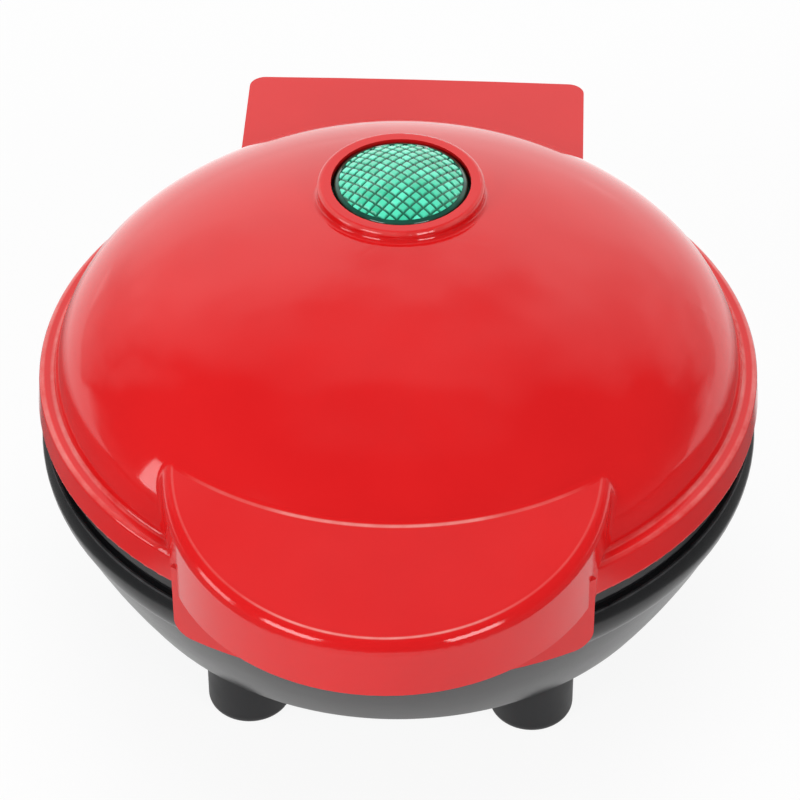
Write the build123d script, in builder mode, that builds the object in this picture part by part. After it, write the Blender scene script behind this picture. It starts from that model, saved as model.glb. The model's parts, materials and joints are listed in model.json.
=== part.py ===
from build123d import *
import os
from math import cos, radians, sin, sqrt, tan

# A small round countertop cooker with a hinged lid, in millimetres.
# The origin is the middle of the footprint on the table, +Z is up and the handle points to -Y.

# Lid: the other round pieces take their radii from its edge
lid_radius = 63.5
lid_gap = 0.8
ledge_width = 3.0
band_height = 5.9
band_lean = 0.5
band_wall = 1.6
dome_rise = 29.0
dome_sink = 1.9
lid_wall = 1.8
ledge_rounding = 0.9
ledge_fillet = 0.7
lid_edge_rounding = 0.4

# Base, stacked up from the table
foot_height = 14.0
foot_radius = 7.4
foot_rounding = 1.8
foot_inset = 0.74
foot_angle = 53.4
bowl_height = 20.0
bowl_taper = 10.0
bowl_inset = 1.4
bowl_bulge = 0.5
bowl_edge_rounding = 2.0
shoulder_height = 7.2
shoulder_inset = 0.1
mouth_inset = 0.9
base_wall = 2.0
groove_height = 1.3
groove_inset = 2.3
rim_height = 2.8
rim_inset = 1.5
rim_spigot_depth = 4.7
rim_wall = 2.0
rim_rounding = 0.4

# Indicator in the dome
lens_back = 12.8
ring_stand = 1.7
ring_wall = 2.4
ring_rounding = 0.9
ring_foot = 0.8
lens_radius = 11.6
lens_gap = 0.6
lens_wall = 1.5
lens_edge_drop = 0.3
lens_crown = 2.5
lens_flange = 1.8
lens_flange_height = 1.3
lens_depth = 4.6
collar_wall = 2.0
collar_depth = 6.0
retainer_height = 2.0
retainer_wall = 2.6
neon_radius = 2.9
neon_seat = 1.5
neon_gap = 3.4
neon_rounding = 2.7
holder_wall = 1.4
holder_foot_radius = 7.0
holder_foot_height = 1.0
holder_height = 6.0

# Handle at the front of the lid
nose_overhang = 13.8
nose_radius = 37.5
handle_join_inset = 5.9
handle_slope = 14.4
handle_wall = 2.0
handle_rounding = 2.4
skirt_drop = 9.1
skirt_stand = 1.7
skirt_wall = 1.4
skirt_width = 70.0
skirt_corner = 3.0
skirt_rounding = 0.9
nose_shelf = 7.4

# Hinge and its cover at the back of the lid
hinge_setback = 6.0
hinge_drop = 1.6
cover_overhang = 10.8
cover_width = 64.2
cover_height = 7.4
cover_wall = 1.8
cover_corner = 3.0
cover_bow = 0.4
pin_radius = 2.0
pin_clearance = 0.05
pin_overhang = 1.7
pin_side_gap = 2.1
pin_chamfer = 0.3
knuckle_width = 7.0
knuckle_radius = 4.8
knuckle_side_gap = 0.5
ear_width = 7.0
ear_radius = 5.0
ear_root_inset = 9.5
stop_gap = 0.3
lid_swing = 100.0
swing_clearance = 0.5
clip_thickness = 0.6
clip_radius = 3.8
clip_groove_depth = 0.5
clip_mouth = 2.2

# Rear housing of the base, with the cord's gland
housing_inset = 2.0
housing_wall = 2.0
housing_edge = 2.0
gland_room = 0.4
gland_bore_radius = 3.1
gland_barrel_radius = 4.6
gland_flange_radius = 6.2
gland_flange_height = 1.6
gland_tail = 3.2
gland_lip = 0.7
gland_clearance = 0.1

# Cooking plates, the upper one carried by a frame in the lid
plate_gap = 0.6
frame_wall = 2.9
fit_clearance = 0.3
plate_flange_width = 7.6
plate_flange_height = 2.2
cook_draft = 1.8
cook_depth = 7.0
plate_wall = 2.2
rib_height = 2.8
rib_width = 2.6
rib_pitch = 15.0
rib_count = 7
lip_width = 4.4
lip_height = 2.0
snap_depth = 0.5
snap_height = 1.0
snap_rise = 1.4

# Heating elements and the pans behind them
element_inset = 17.8
element_radius = 3.25
element_leg_radius = 2.9
element_gap_angle = 28.0
element_pin_radius = 1.25
element_pin_tail = 1.0
channel_wall = 2.1
channel_floor = 0.9
channel_clearance = 0.1
bead_radius = 3.5
bead_flange = 1.0
bead_flange_height = 1.2
bead_tail = 1.6
post_radius = 3.5
post_inset = 4.4
pan_thickness = 0.6
pan_rim = 4.0
pan_stand = 7.5
lower_pan_gap = 0.1
upper_pan_depth = 9.3
upper_pan_gap = 2.3

# Screws
screw_radius = 1.5
screw_clearance = 0.05
screw_slack = 0.3
screw_tip_gap = 0.2
screw_head_radius = 2.8
screw_head_height = 2.0
small_screw_radius = 1.2
small_head_radius = 2.1
small_head_height = 1.4
slot_width = 0.7
slot_depth = 0.7
boss_wall = 1.8
boss_web = 3.0
screw_bite = 10.0
foot_screw_seat = 8.0
foot_screw_bite = 7.0
foot_boss_height = 6.0
foot_boss_radius = 4.0
frame_screw_bite = 1.6
clip_bite = 1.6
block_screw_bite = 1.5

# Electrical parts
thermostat_radius = 8.0
thermostat_height = 6.0
thermostat_blade = 3.5
blade_width = 4.0
blade_thickness = 0.8
blade_inset = 2.5
bracket_thickness = 0.8
bracket_width = 8.0
bracket_gap = 2.0
fuse_radius = 2.0
fuse_length = 12.0
fuse_gap = 1.25
sleeve_wall = 0.6
sleeve_length = 24.0
fuse_clip_width = 4.0
fuse_clip_wall = 0.6
fuse_clip_foot = 5.0
block_width = 24.0
block_depth = 11.0
block_height = 8.0
block_gap = 7.6
block_ways = 3
block_hole_radius = 1.6
earth_inset = 8.8
earth_angle = 22.8
earth_lug_length = 14.0
earth_lug_width = 6.0
earth_lug_thickness = 0.8
nut_radius = 3.0
nut_height = 2.2
lead_radius = 1.2
lead_setback = 4.5
lead_side_gap = 0.6
lead_notch = 5.0
lead_bend = 1.6
lead_end_gap = 0.9
lead_climb = 7.1
lead_tail = 2.0
lead_hole_inset = 3.5
lead_hole_angle = 70.9
wire_radius = 0.9
wire_gap = 0.8
wire_bend = 1.2

# Heights, from the table up
bowl_z = foot_height
lower_floor_z = bowl_z + base_wall
crease_z = bowl_z + bowl_height
mouth_z = crease_z + shoulder_height
rim_z = mouth_z + groove_height
base_top_z = rim_z + rim_height
lid_edge_z = base_top_z + lid_gap
ledge_z = lid_edge_z + band_height
dome_z = ledge_z - dome_sink
dome_top_z = dome_z + dome_rise
ring_top_z = dome_top_z + ring_stand
hinge_z = lid_edge_z - hinge_drop
cover_top_z = lid_edge_z + cover_height
cover_roof_z = cover_top_z - cover_wall
lens_edge_z = ring_top_z - lens_edge_drop
lens_crown_z = lens_edge_z + lens_crown
lens_low_z = lens_edge_z - lens_depth
collar_top_z = lens_low_z + lens_flange_height
collar_low_z = collar_top_z - collar_depth
upper_face_z = base_top_z + plate_gap
upper_flange_z = upper_face_z + plate_flange_height
snap_z = upper_flange_z + snap_rise
frame_low_z = lid_edge_z + fit_clearance
frame_top_z = upper_flange_z + lip_height
plate_back = cook_depth + plate_wall
element_depth = plate_back + channel_floor + element_radius
upper_pan_z = upper_face_z + plate_back + upper_pan_depth
upper_pan_top_z = upper_pan_z + pan_thickness
neon_low_z = upper_pan_top_z + holder_height - neon_seat
neon_length = lens_crown_z - lens_wall - neon_gap - neon_low_z
lower_back_z = base_top_z - plate_back
lower_flange_z = base_top_z - plate_flange_height
pin_depth = pan_thickness + bead_tail + element_pin_tail

# Radii, from the lid's edge in
dome_radius = lid_radius - ledge_width
inner_radius = dome_radius - lid_wall
inner_rise = dome_rise - lid_wall
shelf_radius = dome_radius + lid_wall
skirt_radius = lid_radius + skirt_stand
handle_join_radius = dome_radius - handle_join_inset
shoulder_radius = lid_radius - shoulder_inset
mouth_radius = lid_radius - mouth_inset
mouth_bore = mouth_radius - base_wall
bowl_top_radius = lid_radius - bowl_inset
bowl_bottom_radius = bowl_top_radius - bowl_taper
groove_radius = lid_radius - groove_inset
rim_radius = lid_radius - rim_inset
spigot_radius = mouth_bore - fit_clearance
frame_outer = lid_radius - band_wall - fit_clearance
rim_bore = frame_outer - frame_wall
plate_flange_radius = rim_bore - fit_clearance
lip_inner_radius = plate_flange_radius - lip_width
cook_radius = plate_flange_radius - plate_flange_width
frame_screw_circle = plate_flange_radius - small_head_radius
element_ring_radius = cook_radius - element_inset
channel_inner_radius = element_ring_radius - element_radius - channel_wall
upper_pan_share = sqrt(1 - ((upper_pan_top_z - dome_z) / inner_rise) ** 2)
upper_pan_radius = inner_radius * upper_pan_share - upper_pan_gap
lower_pan_radius = bowl_bottom_radius - base_wall - lower_pan_gap
post_circle = upper_pan_radius - post_inset
foot_circle = bowl_bottom_radius - bowl_edge_rounding - foot_radius - foot_inset
counterbore_radius = screw_head_radius + screw_slack
ring_bore_radius = lens_radius + lens_gap
ring_radius = ring_bore_radius + ring_wall
collar_bore = lens_radius + lens_flange + channel_clearance
sleeve_radius = fuse_radius + channel_clearance + sleeve_wall
clip_outer = sleeve_radius + channel_clearance + fuse_clip_wall

# Reaches to the front and back of the dome's axis, and half widths
nose_reach = lid_radius + nose_overhang
handle_far = nose_reach + handle_rounding
handle_drop = handle_wall / cos(radians(handle_slope))
hinge_back = lid_radius + hinge_setback
cover_reach = hinge_back + cover_overhang
cover_inner_y = cover_reach - cover_bow - cover_wall
dome_y = (nose_reach - cover_reach) / 2
half_cover = cover_width / 2
ear_outer = half_cover - cover_wall - pin_side_gap - pin_overhang
knuckle_inner = ear_outer - ear_width - knuckle_side_gap - knuckle_width
ear_root = lid_radius - ear_root_inset
clip_groove_width = clip_thickness + 2 * pin_clearance
stop_y = (
    hinge_back
    + cover_overhang * cos(radians(lid_swing))
    + hinge_drop * sin(radians(lid_swing))
    - stop_gap
)

# Rear housing, as low as the cover's swing needs and as tall inside as the gland
housing_reach = cover_reach - housing_inset
housing_inner_y = housing_reach - housing_wall
housing_front = sqrt(bowl_bottom_radius ** 2 - half_cover ** 2) - base_wall
swing_radius = sqrt(cover_overhang ** 2 + (cover_top_z - hinge_z) ** 2) + swing_clearance
housing_top_z = hinge_z - sqrt(swing_radius ** 2 - (housing_reach - hinge_back) ** 2)
housing_roof_z = hinge_z - swing_radius - housing_wall
gland_z = housing_roof_z - gland_room - gland_lip - gland_barrel_radius
housing_floor_z = gland_z - gland_room - gland_lip - gland_barrel_radius
housing_z = housing_floor_z - housing_wall
gland_inner_y = housing_inner_y - gland_tail

# The lower pan and the wires clear the higher of the two floors
inner_floor_z = max(lower_floor_z, housing_floor_z)
wire_z = inner_floor_z + wire_radius + wire_gap
lower_pan_z = inner_floor_z + pan_stand
lower_pan_depth = lower_back_z - lower_pan_z
lower_pan_low_z = lower_pan_z - pan_thickness
lower_pin_z = lower_pan_z - pin_depth
boss_seat_z = lower_pan_low_z - boss_web

# Places of the inner parts
bowl_mid = (
    (bowl_bottom_radius + bowl_top_radius) / 2 + bowl_bulge,
    (bowl_z + crease_z) / 2,
)
shoulder_mid = (shoulder_radius, crease_z + shoulder_height / 2)
bracket_reach = thermostat_radius + bracket_gap + bracket_width / 2
strap_points = [(-bracket_reach, 0), (bracket_reach, 0)]
strap_z = lower_back_z - thermostat_height - bracket_thickness
fuse_back = clip_outer + fuse_clip_foot + fuse_gap - channel_inner_radius
fuse_z = lower_back_z - sleeve_radius
clip_point = (0, fuse_back - clip_outer - fuse_clip_foot / 2)
block_back = gland_inner_y - block_gap - block_depth / 2
block_top_z = housing_floor_z + block_height
block_pitch = block_width / block_ways
block_screw_points = [(-block_pitch / 2, block_back), (block_pitch / 2, block_back)]
foot_screw_length = foot_height - foot_screw_seat + foot_screw_bite
lead_back = hinge_back - lead_setback
lead_z = upper_flange_z + lead_radius + channel_clearance
lead_turn_z = lead_z + lead_climb
lead_turn_share = sqrt(1 - ((lead_turn_z + lead_radius - dome_z) / inner_rise) ** 2)
lead_rise_y = inner_radius * lead_turn_share - lead_radius - channel_clearance
wire_y = block_back - block_depth / 2

# Planes and axes: the dome's axis stands dome_y from the origin
axis = Axis((0, dome_y, 0), (0, 0, 1))
section = Plane(origin=(0, dome_y, 0), x_dir=(1, 0, 0), z_dir=(0, -1, 0))
side = Plane(origin=(0, dome_y, 0), x_dir=(0, 1, 0), z_dir=(1, 0, 0))
rear = Plane(origin=(0, dome_y + housing_reach, 0), x_dir=(-1, 0, 0), z_dir=(0, 1, 0))
lens_section = Plane(origin=(0, dome_y + lens_back, 0), x_dir=(1, 0, 0), z_dir=(0, -1, 0))
lens_axis = Axis((0, dome_y + lens_back, 0), (0, 0, 1))


def level(height):
    return Plane(origin=(0, dome_y, height))


def dome_height(radius):
    return dome_z + dome_rise * sqrt(1 - (radius / dome_radius) ** 2)


def handle_height(radius):
    fall = (radius - handle_join_radius) * tan(radians(handle_slope))
    return dome_height(handle_join_radius) - fall


def save(builder, name):
    builder.part.label = name
    export_step(builder.part, f"parts/{name}.step")


def circle_point(radius, angle):
    return (radius * cos(radians(angle)), radius * sin(radians(angle)))


def circle_points(radius, count, first_angle):
    return [circle_point(radius, first_angle + 360 / count * i) for i in range(count)]


post_points = circle_points(post_circle, 3, 90)
frame_screw_points = circle_points(frame_screw_circle, 3, 30)
foot_x, foot_y = circle_point(foot_circle, foot_angle)
foot_points = [(x, y) for x in (-foot_x, foot_x) for y in (-foot_y, foot_y)]
foot_names = ["foot_front_left", "foot_rear_left", "foot_front_right", "foot_rear_right"]
terminal_angles = (90 + element_gap_angle / 2, 90 - element_gap_angle / 2)
terminal_points = [circle_point(element_ring_radius, a) for a in terminal_angles]
earth_point = circle_point(lower_pan_radius - earth_inset, earth_angle)
lid_lead_point = circle_point(upper_pan_radius - lead_hole_inset, lead_hole_angle)

os.makedirs("parts", exist_ok=True)

# Handle block, its hollow, the hinge cover and the skirt, which the lid shell joins below
with BuildPart() as handle_block:
    with BuildSketch(level(lid_edge_z)):
        with Locations((0, nose_radius - nose_reach)):
            Circle(nose_radius)
    extrude(amount=dome_rise)
    with BuildSketch(section):
        with BuildLine():
            Polyline(
                (0, lid_edge_z),
                (handle_far, lid_edge_z),
                (handle_far, handle_height(handle_far)),
                (0, handle_height(0)),
                close=True,
            )
        make_face()
    revolve(axis=axis, mode=Mode.INTERSECT)

with BuildPart() as handle_hollow:
    with BuildSketch(level(lid_edge_z)):
        with Locations((0, nose_radius - nose_reach)):
            Circle(nose_radius - handle_wall)
    extrude(amount=dome_rise)
    with BuildSketch(section):
        with BuildLine():
            Polyline(
                (skirt_radius, lid_edge_z),
                (handle_far, lid_edge_z),
                (handle_far, handle_height(handle_far) - handle_drop),
                (shelf_radius, handle_height(shelf_radius) - handle_drop),
                (shelf_radius, lid_edge_z + nose_shelf),
                (skirt_radius, lid_edge_z + nose_shelf),
                close=True,
            )
        make_face()
    revolve(axis=axis, mode=Mode.INTERSECT)

with BuildPart() as cover_block:
    with BuildSketch(level(lid_edge_z)):
        with BuildLine():
            Polyline(
                (-half_cover, cover_reach - cover_bow),
                (-half_cover, 0),
                (half_cover, 0),
                (half_cover, cover_reach - cover_bow),
            )
            ThreePointArc(
                (half_cover, cover_reach - cover_bow),
                (0, cover_reach),
                (-half_cover, cover_reach - cover_bow),
            )
        make_face()
    extrude(amount=cover_height)
    fillet(cover_block.edges().filter_by(Axis.Z).group_by(Axis.Y)[-1], cover_corner)

with BuildPart() as cover_hollow:
    with BuildSketch(level(lid_edge_z)):
        with Locations((0, cover_inner_y / 2)):
            Rectangle(cover_width - 2 * cover_wall, cover_inner_y)
        Circle(skirt_radius, mode=Mode.SUBTRACT)
    extrude(amount=cover_height - cover_wall)

with BuildPart() as skirt:
    with BuildSketch(level(lid_edge_z - skirt_drop)):
        Circle(skirt_radius)
        Circle(skirt_radius - skirt_wall, mode=Mode.SUBTRACT)
    extrude(amount=skirt_drop + band_height)
    with BuildSketch(section):
        with Locations((0, lid_edge_z + band_height - skirt_drop / 2)):
            RectangleRounded(skirt_width, skirt_drop + 2 * band_height, skirt_corner)
    extrude(amount=nose_reach, mode=Mode.INTERSECT)
    skirt_front = skirt.faces().filter_by(GeomType.CYLINDER).sort_by(SortBy.AREA)[-1]
    fillet(skirt_front.edges().sort_by(Axis.Z)[:-1], skirt_rounding)

with BuildPart() as lid_shell:
    with BuildSketch(section):
        with BuildLine():
            EllipticalCenterArc((0, dome_z), dome_radius, dome_rise)
            Polyline(
                (0, dome_top_z),
                (0, lid_edge_z),
                (dome_radius, lid_edge_z),
                (dome_radius, dome_z),
            )
        make_face()
    revolve(axis=axis)
    add(handle_block.part)
    handle_root = lid_shell.edges(Select.NEW)
    nose_point = (0, dome_y - nose_reach, handle_height(nose_reach))
    handle_lip = lid_shell.edges().sort_by_distance(nose_point)[0]
    fillet([*handle_root, handle_lip], handle_rounding)
    with BuildSketch(section) as band_profile:
        with BuildLine():
            EllipticalCenterArc((0, dome_z), dome_radius, dome_rise)
            Polyline(
                (0, dome_top_z),
                (0, lid_edge_z),
                (dome_radius, lid_edge_z),
                (dome_radius, dome_z),
            )
        make_face()
        with BuildLine():
            Polyline(
                (0, lid_edge_z),
                (lid_radius, lid_edge_z),
                (lid_radius - band_lean, ledge_z),
                (0, ledge_z),
                close=True,
            )
        make_face()
        fillet(band_profile.vertices().group_by(Axis.X)[-1], lid_edge_rounding)
        ledge_edge = (lid_radius - band_lean, ledge_z, 0)
        fillet(band_profile.vertices().sort_by_distance(ledge_edge)[0], ledge_rounding)
        ledge_root = (dome_radius, ledge_z, 0)
        fillet(band_profile.vertices().sort_by_distance(ledge_root)[0], ledge_fillet)
        with Locations((lid_radius, lid_edge_z)):
            Rectangle(
                2 * (ledge_width + lid_wall),
                2 * (band_height + ledge_fillet),
                mode=Mode.INTERSECT,
            )
    revolve(axis=axis)
    add(cover_block.part)
    with BuildSketch(level(dome_z)):
        with Locations((0, lens_back)):
            Circle(ring_radius)
    extrude(amount=ring_top_z - dome_z)
    fillet(lid_shell.edges(Select.NEW), ring_foot)
    ring_edges = lid_shell.edges().filter_by(GeomType.CIRCLE).group_by(Axis.Z)[-1]
    fillet(ring_edges, ring_rounding)
    with BuildSketch(section):
        with BuildLine():
            EllipticalCenterArc((0, dome_z), inner_radius, inner_rise)
            Polyline(
                (0, dome_z + inner_rise),
                (0, lid_edge_z),
                (lid_radius - band_wall, lid_edge_z),
                (lid_radius - band_wall, ledge_z - lid_wall),
                (inner_radius, ledge_z - lid_wall),
                (inner_radius, dome_z),
            )
        make_face()
    revolve(axis=axis, mode=Mode.SUBTRACT)
    with BuildSketch(section):
        with Locations((lid_radius - band_wall, snap_z)):
            Rectangle(2 * snap_depth, snap_height + 2 * screw_slack)
    revolve(axis=axis, mode=Mode.SUBTRACT)
    add(handle_hollow.part, mode=Mode.SUBTRACT)
    add(cover_hollow.part, mode=Mode.SUBTRACT)
    add(skirt.part)
    with BuildSketch(level(collar_low_z)):
        with Locations((0, lens_back)):
            Circle(collar_bore + collar_wall)
    extrude(until=Until.NEXT)
    with BuildSketch(level(collar_low_z)):
        with Locations((0, lens_back)):
            Circle(collar_bore)
    extrude(amount=collar_top_z - collar_low_z, mode=Mode.SUBTRACT)
    with BuildSketch(level(collar_low_z)):
        with Locations((0, lens_back)):
            Circle(ring_bore_radius)
    extrude(amount=ring_top_z, mode=Mode.SUBTRACT)
    for knuckle_start in (knuckle_inner, -knuckle_inner - knuckle_width):
        with BuildSketch(side.offset(knuckle_start)):
            with Locations((hinge_back, hinge_z)):
                Circle(knuckle_radius)
            with Locations((hinge_back, (hinge_z + cover_roof_z) / 2)):
                Rectangle(2 * knuckle_radius, cover_roof_z - hinge_z)
        extrude(amount=knuckle_width)
    with BuildSketch(side):
        with Locations((hinge_back, hinge_z)):
            Circle(pin_radius + pin_clearance)
    extrude(amount=knuckle_inner + knuckle_width, both=True, mode=Mode.SUBTRACT)
    with BuildSketch(level(lid_edge_z)):
        with Locations((0, skirt_radius - band_height / 2)):
            Rectangle(2 * (lead_radius + lead_side_gap), 2 * band_height)
    extrude(amount=lead_notch, mode=Mode.SUBTRACT)
save(lid_shell, "lid_shell")

# Lens, its retaining ring and the lamp below it
with BuildPart() as indicator_lens:
    with BuildSketch(lens_section):
        with BuildLine():
            TangentArc((0, lens_crown_z), (lens_radius, lens_edge_z), tangent=(1, 0))
            Line((0, lens_crown_z), (0, lens_crown_z - lens_wall))
            TangentArc(
                (0, lens_crown_z - lens_wall),
                (lens_radius - lens_wall, lens_edge_z - lens_wall),
                tangent=(1, 0),
            )
            Polyline(
                (lens_radius - lens_wall, lens_edge_z - lens_wall),
                (lens_radius - lens_wall, lens_low_z),
                (lens_radius + lens_flange, lens_low_z),
                (lens_radius + lens_flange, collar_top_z),
                (lens_radius, collar_top_z),
                (lens_radius, lens_edge_z),
            )
        make_face()
    revolve(axis=lens_axis)
save(indicator_lens, "indicator_lens")

with BuildPart() as lens_retainer:
    with BuildSketch(level(lens_low_z)):
        with Locations((0, lens_back)):
            Circle(lens_radius + lens_flange)
            Circle(lens_radius + lens_flange - retainer_wall, mode=Mode.SUBTRACT)
    extrude(amount=-retainer_height)
save(lens_retainer, "lens_retainer")

with BuildPart() as lamp_holder:
    with BuildSketch(level(upper_pan_top_z)):
        with Locations((0, lens_back)):
            Circle(holder_foot_radius)
    extrude(amount=holder_foot_height)
    with BuildSketch(level(upper_pan_top_z)):
        with Locations((0, lens_back)):
            Circle(neon_radius + channel_clearance + holder_wall)
    extrude(amount=holder_height)
    with BuildSketch(level(neon_low_z)):
        with Locations((0, lens_back)):
            Circle(neon_radius + channel_clearance)
    extrude(amount=neon_seat, mode=Mode.SUBTRACT)
save(lamp_holder, "lamp_holder")

with BuildPart() as neon_lamp:
    with BuildSketch(level(neon_low_z)):
        with Locations((0, lens_back)):
            Circle(neon_radius)
    extrude(amount=neon_length)
    fillet(neon_lamp.edges().filter_by(GeomType.CIRCLE).group_by(Axis.Z)[-1], neon_rounding)
save(neon_lamp, "neon_lamp")


# Cooking plate: way is 1 for the upper plate, which grows up from its face, and -1 for the lower
def cooking_plate(face_z, way, pan_depth):
    back_z = face_z + way * plate_back
    with BuildPart() as plate:
        with BuildSketch(section):
            with BuildLine():
                Polyline(
                    (0, face_z + way * cook_depth),
                    (cook_radius - cook_draft, face_z + way * cook_depth),
                    (cook_radius, face_z),
                    (plate_flange_radius, face_z),
                    (plate_flange_radius, face_z + way * plate_flange_height),
                    (cook_radius + plate_wall, face_z + way * plate_flange_height),
                    (cook_radius - cook_draft + plate_wall, back_z),
                    (0, back_z),
                    close=True,
                )
            make_face()
        revolve(axis=axis)
        with BuildSketch(level(face_z + way * cook_depth)):
            with GridLocations(rib_pitch, 0, rib_count, 1):
                Rectangle(rib_width, 2 * cook_radius)
            with GridLocations(0, rib_pitch, 1, rib_count):
                Rectangle(2 * cook_radius, rib_width)
            Circle(cook_radius - cook_draft / 2, mode=Mode.INTERSECT)
        extrude(amount=-way * rib_height)
        with BuildSketch(level(back_z)):
            Circle(element_ring_radius + element_radius + channel_wall)
            Circle(element_ring_radius - element_radius - channel_wall, mode=Mode.SUBTRACT)
        extrude(amount=way * (channel_floor + element_radius))
        with BuildSketch(level(back_z)):
            with Locations(post_points):
                Circle(post_radius)
        extrude(amount=way * pan_depth)
        with BuildSketch(section):
            with Locations((element_ring_radius, face_z + way * element_depth)):
                Circle(element_radius + channel_clearance)
        revolve(axis=axis, mode=Mode.SUBTRACT)
        with BuildSketch(level(back_z + way * pan_depth)):
            with Locations(post_points):
                Circle(screw_radius + screw_clearance)
        extrude(amount=-way * (screw_bite + screw_slack), mode=Mode.SUBTRACT)
    return plate


with BuildPart() as upper_plate:
    add(cooking_plate(upper_face_z, 1, upper_pan_depth).part)
    with BuildSketch(level(upper_flange_z)):
        with Locations(frame_screw_points):
            Circle(small_screw_radius + screw_clearance)
    extrude(amount=-frame_screw_bite - screw_tip_gap, mode=Mode.SUBTRACT)
save(upper_plate, "upper_plate")

with BuildPart() as lower_plate:
    add(cooking_plate(base_top_z, -1, lower_pan_depth).part)
    with BuildSketch(level(lower_back_z)):
        with Locations(strap_points):
            Circle(bracket_width / 2)
            Circle(small_screw_radius + screw_clearance, mode=Mode.SUBTRACT)
    extrude(amount=-thermostat_height)
    with BuildSketch(level(lower_back_z)):
        with Locations(clip_point):
            Circle(small_screw_radius + screw_clearance)
    extrude(amount=clip_bite + screw_tip_gap, mode=Mode.SUBTRACT)
save(lower_plate, "lower_plate")


# Tubular heating element in the channel of a plate, with its two ends turned away to the pan
def heating_element(face_z, way, pan_z):
    tube_z = face_z + way * element_depth
    leg_end_z = pan_z - way * (bead_flange_height + fit_clearance)
    first = radians(terminal_angles[0])
    start = Plane(
        origin=(0, dome_y, 0),
        x_dir=(cos(first), sin(first), 0),
        z_dir=(sin(first), -cos(first), 0),
    )
    with BuildPart() as element:
        with BuildSketch(start):
            with Locations((element_ring_radius, tube_z)):
                Circle(element_radius)
        revolve(axis=axis, revolution_arc=360 - element_gap_angle)
        with BuildSketch(level(tube_z)):
            with Locations(terminal_points):
                Circle(element_leg_radius)
        extrude(amount=leg_end_z - tube_z)
        with BuildSketch(level(leg_end_z)):
            with Locations(terminal_points):
                Circle(element_pin_radius)
        extrude(amount=pan_z + way * pin_depth - leg_end_z)
    return element


save(heating_element(upper_face_z, 1, upper_pan_z), "upper_heating_element")
save(heating_element(base_top_z, -1, lower_pan_z), "lower_heating_element")


# Sheet-metal pan behind the element; near_z is its face towards the plate
def reflector(near_z, way, radius, extra_holes):
    with BuildPart() as pan:
        with BuildSketch(level(near_z)):
            Circle(radius)
            with Locations(post_points):
                Circle(screw_radius + screw_slack, mode=Mode.SUBTRACT)
            with Locations(terminal_points):
                Circle(bead_radius + channel_clearance, mode=Mode.SUBTRACT)
            with Locations(extra_holes):
                Circle(screw_radius + screw_slack, mode=Mode.SUBTRACT)
        extrude(amount=way * pan_thickness)
        with BuildSketch(level(near_z)):
            Circle(radius)
            Circle(radius - pan_thickness, mode=Mode.SUBTRACT)
        extrude(amount=-way * pan_rim)
    return pan


save(reflector(upper_pan_z, 1, upper_pan_radius, [lid_lead_point]), "upper_reflector")
save(reflector(lower_pan_z, -1, lower_pan_radius, [earth_point]), "lower_reflector")


# Ceramic beads that carry the element's pins through the pan
def insulator_beads(near_z, way):
    with BuildPart() as beads:
        with BuildSketch(level(near_z)):
            with Locations(terminal_points):
                Circle(bead_radius + bead_flange)
                Circle(element_pin_radius + channel_clearance, mode=Mode.SUBTRACT)
        extrude(amount=-way * bead_flange_height)
        with BuildSketch(level(near_z)):
            with Locations(terminal_points):
                Circle(bead_radius)
                Circle(element_pin_radius + channel_clearance, mode=Mode.SUBTRACT)
        extrude(amount=way * (pan_thickness + bead_tail))
    return beads


save(insulator_beads(upper_pan_z, 1), "upper_element_insulators")
save(insulator_beads(lower_pan_z, -1), "lower_element_insulators")

# Frame that carries the upper plate and snaps into the lid
with BuildPart() as lid_frame:
    with BuildSketch(section):
        with BuildLine():
            Polyline(
                (frame_outer, frame_low_z),
                (frame_outer, frame_top_z),
                (lip_inner_radius, frame_top_z),
                (lip_inner_radius, upper_flange_z),
                (plate_flange_radius + fit_clearance, upper_flange_z),
                (plate_flange_radius + fit_clearance, frame_low_z),
                close=True,
            )
        make_face()
        with Locations((frame_outer, snap_z)):
            Rectangle(2 * (snap_depth + fit_clearance) - 2 * screw_clearance, snap_height)
    revolve(axis=axis)
    with BuildSketch(level(frame_top_z)):
        with Locations(frame_screw_points):
            Circle(small_screw_radius + screw_clearance)
    extrude(amount=-lip_height, mode=Mode.SUBTRACT)
    with BuildSketch(level(upper_flange_z)):
        with Locations((0, (lip_inner_radius + lid_radius) / 2)):
            Rectangle(2 * (lead_radius + lead_side_gap), lid_radius - lip_inner_radius + band_wall)
    extrude(amount=lip_height, mode=Mode.SUBTRACT)
save(lid_frame, "lid_frame")


# Slotted screws, with the head on the seat and the shaft going the way given
def screws(points, seat_z, way, length, radius, head_radius, head_height):
    with BuildPart() as group:
        with BuildSketch(level(seat_z)):
            with Locations(points):
                Circle(head_radius)
        extrude(amount=-way * head_height)
        with BuildSketch(level(seat_z - way * head_height)):
            with Locations(points):
                Rectangle(2 * head_radius, slot_width)
        extrude(amount=way * slot_depth, mode=Mode.SUBTRACT)
        with BuildSketch(level(seat_z)):
            with Locations(points):
                Circle(radius)
        extrude(amount=way * length)
    return group


def large_screws(points, seat_z, way, length):
    return screws(points, seat_z, way, length, screw_radius, screw_head_radius, screw_head_height)


def small_screws(points, seat_z, way, length):
    head = small_head_radius
    return screws(points, seat_z, way, length, small_screw_radius, head, small_head_height)


frame_screw_length = lip_height + frame_screw_bite
save(small_screws(frame_screw_points, frame_top_z, -1, frame_screw_length), "upper_plate_screws")
upper_screw_length = pan_thickness + screw_bite
save(large_screws(post_points, upper_pan_top_z, -1, upper_screw_length), "upper_reflector_screws")
base_screw_length = boss_web + pan_thickness + screw_bite
save(large_screws(post_points, boss_seat_z, 1, base_screw_length), "base_screws")
save(large_screws(foot_points, foot_screw_seat, 1, foot_screw_length), "foot_screws")

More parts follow.
